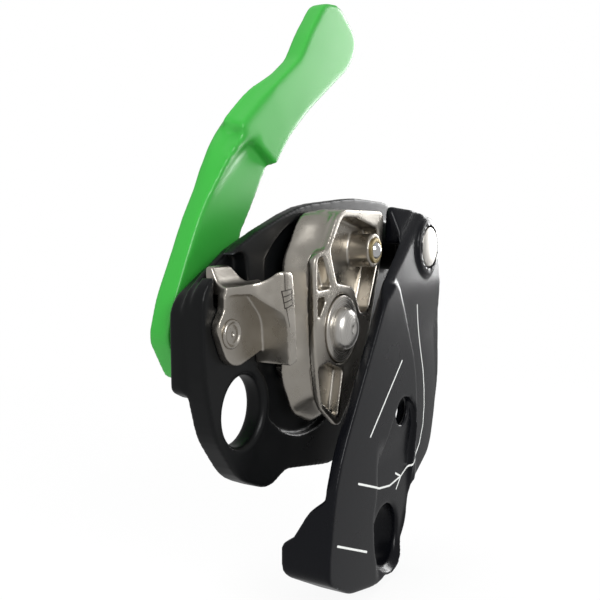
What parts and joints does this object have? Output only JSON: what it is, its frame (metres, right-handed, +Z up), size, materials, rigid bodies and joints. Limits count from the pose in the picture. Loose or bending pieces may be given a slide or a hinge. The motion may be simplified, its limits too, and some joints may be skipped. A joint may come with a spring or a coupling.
{
  "type": "belay device",
  "caption": "Assisted-braking belay device with its cover plate swung open: forged body, cam and fixed jaw that pinch the rope, release lever, sprung button and a karabiner eye.",
  "frame": {"origin": "centre of the karabiner eye, half-way through the body plate", "axes": "+X to the right and +Z up as seen from the cover side, -Y out of the cover side along the eye"},
  "size_m": [0.1203, 0.0418, 0.1818],
  "materials": {
    "body_black": "satin black anodised",
    "cover_black": "semi-gloss black anodised",
    "jaw_steel": "polished casting",
    "cam_steel": "satin casting",
    "steel": "turned",
    "pin_steel": "turned",
    "washer_steel": "ground",
    "button_steel": "turned",
    "ball_chrome": "polished",
    "bronze": "sintered",
    "brass": "turned",
    "spring_steel": "drawn wire",
    "core_aluminium": "stamped",
    "screw_steel": "dull",
    "lever_green": "satin moulded",
    "cap_black": "moulded"
  },
  "bodies": {
    "body": {"body_plate": "body_black", "brake_jaw": "jaw_steel", "jaw_rivet": "steel", "jaw_screw": "steel", "axle": "steel", "axle_washer": "washer_steel", "axle_nut": "steel", "cam_stop_pin": "steel", "pivot_pin": "pin_steel", "pivot_washer": "washer_steel", "button_plug": "steel", "button_spring": "spring_steel", "cam_spring": "spring_steel", "lever_spring": "spring_steel", "hub_cap": "cap_black"},
    "cam_body": {"cam": "cam_steel", "cam_bush": "bronze", "detent_sleeve": "brass", "detent_spring": "spring_steel"},
    "ball_body": {"detent_ball": "ball_chrome"},
    "button_body": {"release_button": "button_steel"},
    "cover_body": {"cover_plate": "cover_black"},
    "lever_body": {"lever_grip": "lever_green", "lever_core": "core_aluminium", "lever_bush": "bronze", "lever_screws": "screw_steel", "drive_pin": "steel"}
  },
  "joints": [
    {"name": "cover_hinge", "type": "hinge", "parent": "body", "child": "cover_body", "pos_m": [0.086, -0.0175, 0.0405], "axis": [0, 1, 0], "range_deg": [0, 47]},
    {"name": "cam_hinge", "type": "hinge", "parent": "body", "child": "cam_body", "pos_m": [0.035, -0.009, 0.0185], "axis": [0, -1, 0], "range_deg": [0, 22], "stiffness_Nm_per_rad": 0.06, "springref_deg": -34.38, "deforming": ["cam_spring"]},
    {"name": "lever_hinge", "type": "hinge", "parent": "body", "child": "lever_body", "pos_m": [0.035, 0.0126, 0.0185], "axis": [0, 1, 0], "range_deg": [0, 55], "stiffness_Nm_per_rad": 0.08, "springref_deg": -34.38, "deforming": ["lever_spring"]},
    {"name": "button_slide", "type": "slide", "parent": "body", "child": "button_body", "axis": [0, 1, 0], "range_m": [0, 0.003], "stiffness_N_per_m": 800, "springref_m": -0.002, "deforming": ["button_spring"]},
    {"name": "ball_slide", "type": "slide", "parent": "cam_body", "child": "ball_body", "axis": [0, 1, 0], "range_m": [0, 0.0008], "stiffness_N_per_m": 1500, "springref_m": -0.001, "deforming": ["detent_spring"]}
  ]
}
